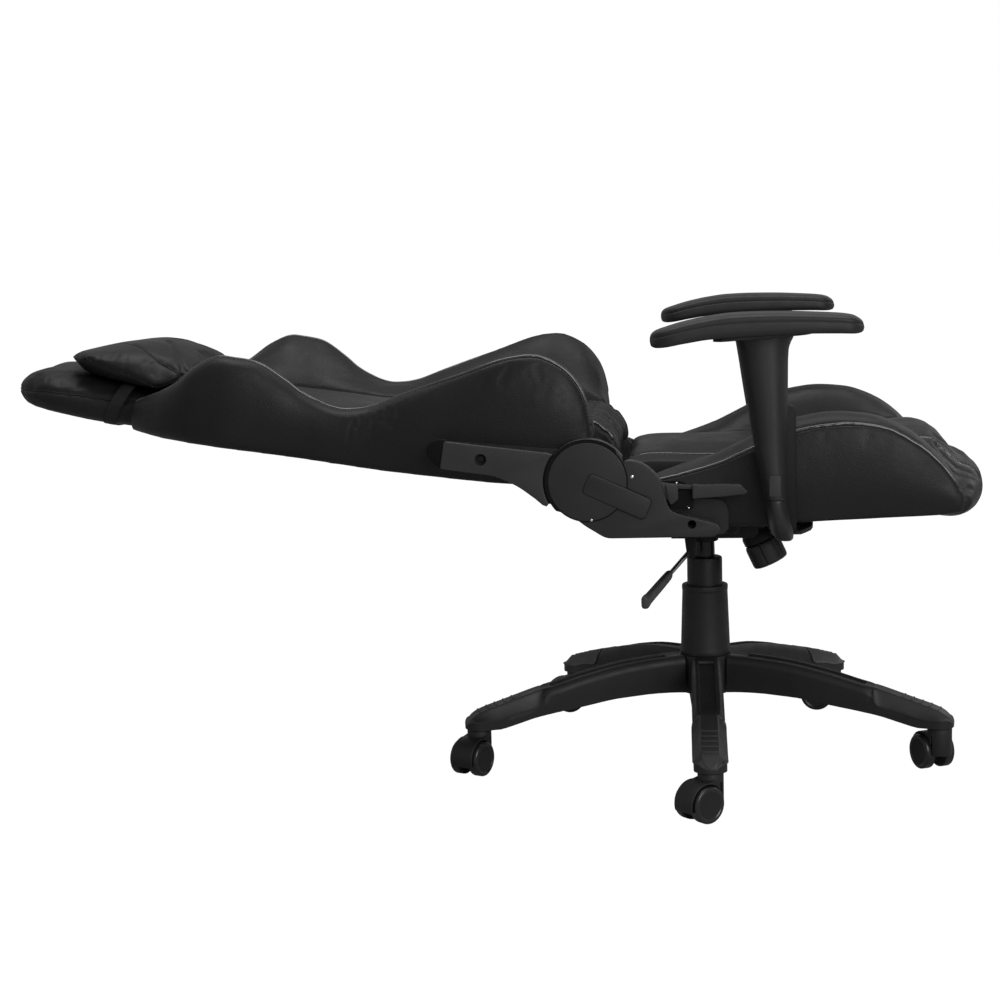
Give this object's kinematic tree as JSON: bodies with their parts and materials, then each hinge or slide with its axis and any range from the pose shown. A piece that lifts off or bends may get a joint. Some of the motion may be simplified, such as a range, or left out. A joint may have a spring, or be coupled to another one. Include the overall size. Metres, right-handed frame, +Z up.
{
  "type": "gaming chair",
  "caption": "Padded gaming chair laid right back, with a winged backrest, neck pillow, side recliners, height-adjustable armrests, gas lift and star base on twin-wheel casters.",
  "frame": {"origin": "on the floor, under the middle of the whole chair's bounding box", "axes": "+X the way the sitter faces, +Y to the sitter's left, +Z up"},
  "size_m": [1.2962, 0.7114, 0.621],
  "materials": {
    "nylon": "fine matte texture",
    "soft_plastic": "soft matte",
    "wheel_plastic": "satin",
    "black_steel": "black powder coat",
    "bright_steel": "brushed",
    "arm_grey": "matte",
    "padded_leather": "satin imitation leather over foam",
    "strap": "woven elastic"
  },
  "bodies": {
    "base": {"base_star": "nylon", "grip_pad_1": "soft_plastic", "grip_pad_2": "soft_plastic", "grip_pad_3": "soft_plastic", "grip_pad_4": "soft_plastic", "grip_pad_5": "soft_plastic", "gas_lift_tube": "black_steel", "column_cover": "nylon"},
    "caster_1": {"caster_hood_1": "nylon"},
    "wheels_1": {"caster_wheels_1": "wheel_plastic"},
    "caster_2": {"caster_hood_2": "nylon"},
    "wheels_2": {"caster_wheels_2": "wheel_plastic"},
    "caster_3": {"caster_hood_3": "nylon"},
    "wheels_3": {"caster_wheels_3": "wheel_plastic"},
    "caster_4": {"caster_hood_4": "nylon"},
    "wheels_4": {"caster_wheels_4": "wheel_plastic"},
    "caster_5": {"caster_hood_5": "nylon"},
    "wheels_5": {"caster_wheels_5": "wheel_plastic"},
    "lift": {"gas_spring": "black_steel"},
    "mechanism": {"tilt_housing": "black_steel", "tilt_pin": "bright_steel"},
    "knob": {"tension_knob": "soft_plastic"},
    "gas_lever": {"gas_lever_rod": "bright_steel", "gas_lever_grip": "soft_plastic"},
    "seat": {"seat_plate": "black_steel", "seat_frame": "black_steel", "seat_cushion": "padded_leather", "seat_bolster_right": "padded_leather", "seat_bolster_left": "padded_leather", "hinge_plate_right": "black_steel", "hinge_plate_left": "black_steel", "recliner_right": "bright_steel", "recliner_left": "bright_steel", "recliner_cover_right": "nylon", "recliner_cover_left": "nylon", "arm_bracket_right": "black_steel", "arm_bracket_left": "black_steel", "arm_shroud_right": "nylon", "arm_shroud_left": "nylon"},
    "recline_release": {"recline_lever": "soft_plastic", "recline_shaft": "bright_steel"},
    "back": {"back_frame": "black_steel", "back_panel": "padded_leather", "back_cushion": "padded_leather", "headrest": "padded_leather", "back_wing_right": "padded_leather", "back_wing_left": "padded_leather", "back_arm_right": "black_steel", "back_arm_left": "black_steel", "back_arm_cover_right": "arm_grey", "back_arm_cover_left": "arm_grey", "neck_pillow": "padded_leather", "pillow_strap": "strap"},
    "arm_right": {"arm_post_right": "nylon", "arm_pad_right": "soft_plastic"},
    "arm_right_button": {"arm_button_right": "soft_plastic"},
    "arm_left": {"arm_post_left": "nylon", "arm_pad_left": "soft_plastic"},
    "arm_left_button": {"arm_button_left": "soft_plastic"}
  },
  "joints": [
    {"name": "caster_1_swivel", "type": "hinge", "parent": "base", "child": "caster_1", "pos_m": [0.28374, -0.3128, 0.06], "axis": [0, 0, 1], "continuous": true},
    {"name": "caster_1_roll", "type": "hinge", "parent": "caster_1", "child": "wheels_1", "pos_m": [0.26963, -0.32551, 0.02325], "axis": [0.6691, -0.7431, 0], "continuous": true},
    {"name": "caster_2_swivel", "type": "hinge", "parent": "base", "child": "caster_2", "pos_m": [0.58605, -0.08499, 0.06], "axis": [0, 0, 1], "continuous": true},
    {"name": "caster_2_roll", "type": "hinge", "parent": "caster_2", "child": "wheels_2", "pos_m": [0.57773, -0.06792, 0.02325], "axis": [-0.8988, -0.4384, 0], "continuous": true},
    {"name": "caster_3_swivel", "type": "hinge", "parent": "base", "child": "caster_3", "pos_m": [0.46282, 0.27292, 0.06], "axis": [0, 0, 1], "continuous": true},
    {"name": "caster_3_roll", "type": "hinge", "parent": "caster_3", "child": "wheels_3", "pos_m": [0.444, 0.27556, 0.02325], "axis": [-0.1392, -0.9903, 0], "continuous": true},
    {"name": "caster_4_swivel", "type": "hinge", "parent": "base", "child": "caster_4", "pos_m": [0.08434, 0.26631, 0.06], "axis": [0, 0, 1], "continuous": true},
    {"name": "caster_4_roll", "type": "hinge", "parent": "caster_4", "child": "wheels_4", "pos_m": [0.06712, 0.25828, 0.02325], "axis": [0.4226, -0.9063, 0], "continuous": true},
    {"name": "caster_5_swivel", "type": "hinge", "parent": "base", "child": "caster_5", "pos_m": [-0.02633, -0.09568, 0.06], "axis": [0, 0, 1], "continuous": true},
    {"name": "caster_5_roll", "type": "hinge", "parent": "caster_5", "child": "wheels_5", "pos_m": [-0.03496, -0.11261, 0.02325], "axis": [0.891, -0.454, 0], "continuous": true},
    {"name": "seat_height", "type": "slide", "parent": "base", "child": "lift", "axis": [0, 0, 1], "range_m": [-0.012, 0.085]},
    {"name": "seat_swivel", "type": "hinge", "parent": "lift", "child": "mechanism", "pos_m": [0.27813, 0.00915, 0.3], "axis": [0, 0, 1], "continuous": true},
    {"name": "seat_tilt", "type": "hinge", "parent": "mechanism", "child": "seat", "pos_m": [0.31412, 0.00915, 0.322], "axis": [0, -1, 0], "range_deg": [0, 10], "stiffness_Nm_per_rad": 150, "springref_deg": -28.65},
    {"name": "back_recline", "type": "hinge", "parent": "seat", "child": "back", "pos_m": [0.13612, 0.00915, 0.415], "axis": [0, 1, 0], "range_deg": [0, 80]},
    {"name": "recline_lever_lift", "type": "hinge", "parent": "seat", "child": "recline_release", "pos_m": [0.13612, 0.00915, 0.415], "axis": [0, -1, 0], "range_deg": [0, 12], "stiffness_Nm_per_rad": 2, "springref_deg": -17.19},
    {"name": "tension_knob_turn", "type": "hinge", "parent": "mechanism", "child": "knob", "pos_m": [0.36912, 0.00915, 0.266], "axis": [-0.4226, 0, 0.9063], "continuous": true},
    {"name": "gas_lever_lift", "type": "hinge", "parent": "mechanism", "child": "gas_lever", "pos_m": [0.25812, -0.01685, 0.286], "axis": [-0.9712, 0.2384, 0], "range_deg": [0, 6], "stiffness_Nm_per_rad": 2, "springref_deg": -11.46},
    {"name": "arm_right_height", "type": "slide", "parent": "seat", "child": "arm_right", "axis": [0, 0, 1], "range_m": [0, 0.07]},
    {"name": "arm_right_button_press", "type": "slide", "parent": "arm_right", "child": "arm_right_button", "axis": [0, 1, 0], "range_m": [0, 0.003], "stiffness_N_per_m": 400, "springref_m": -0.002},
    {"name": "arm_left_height", "type": "slide", "parent": "seat", "child": "arm_left", "axis": [0, 0, 1], "range_m": [0, 0.07]},
    {"name": "arm_left_button_press", "type": "slide", "parent": "arm_left", "child": "arm_left_button", "axis": [0, -1, 0], "range_m": [0, 0.003], "stiffness_N_per_m": 400, "springref_m": -0.002}
  ]
}
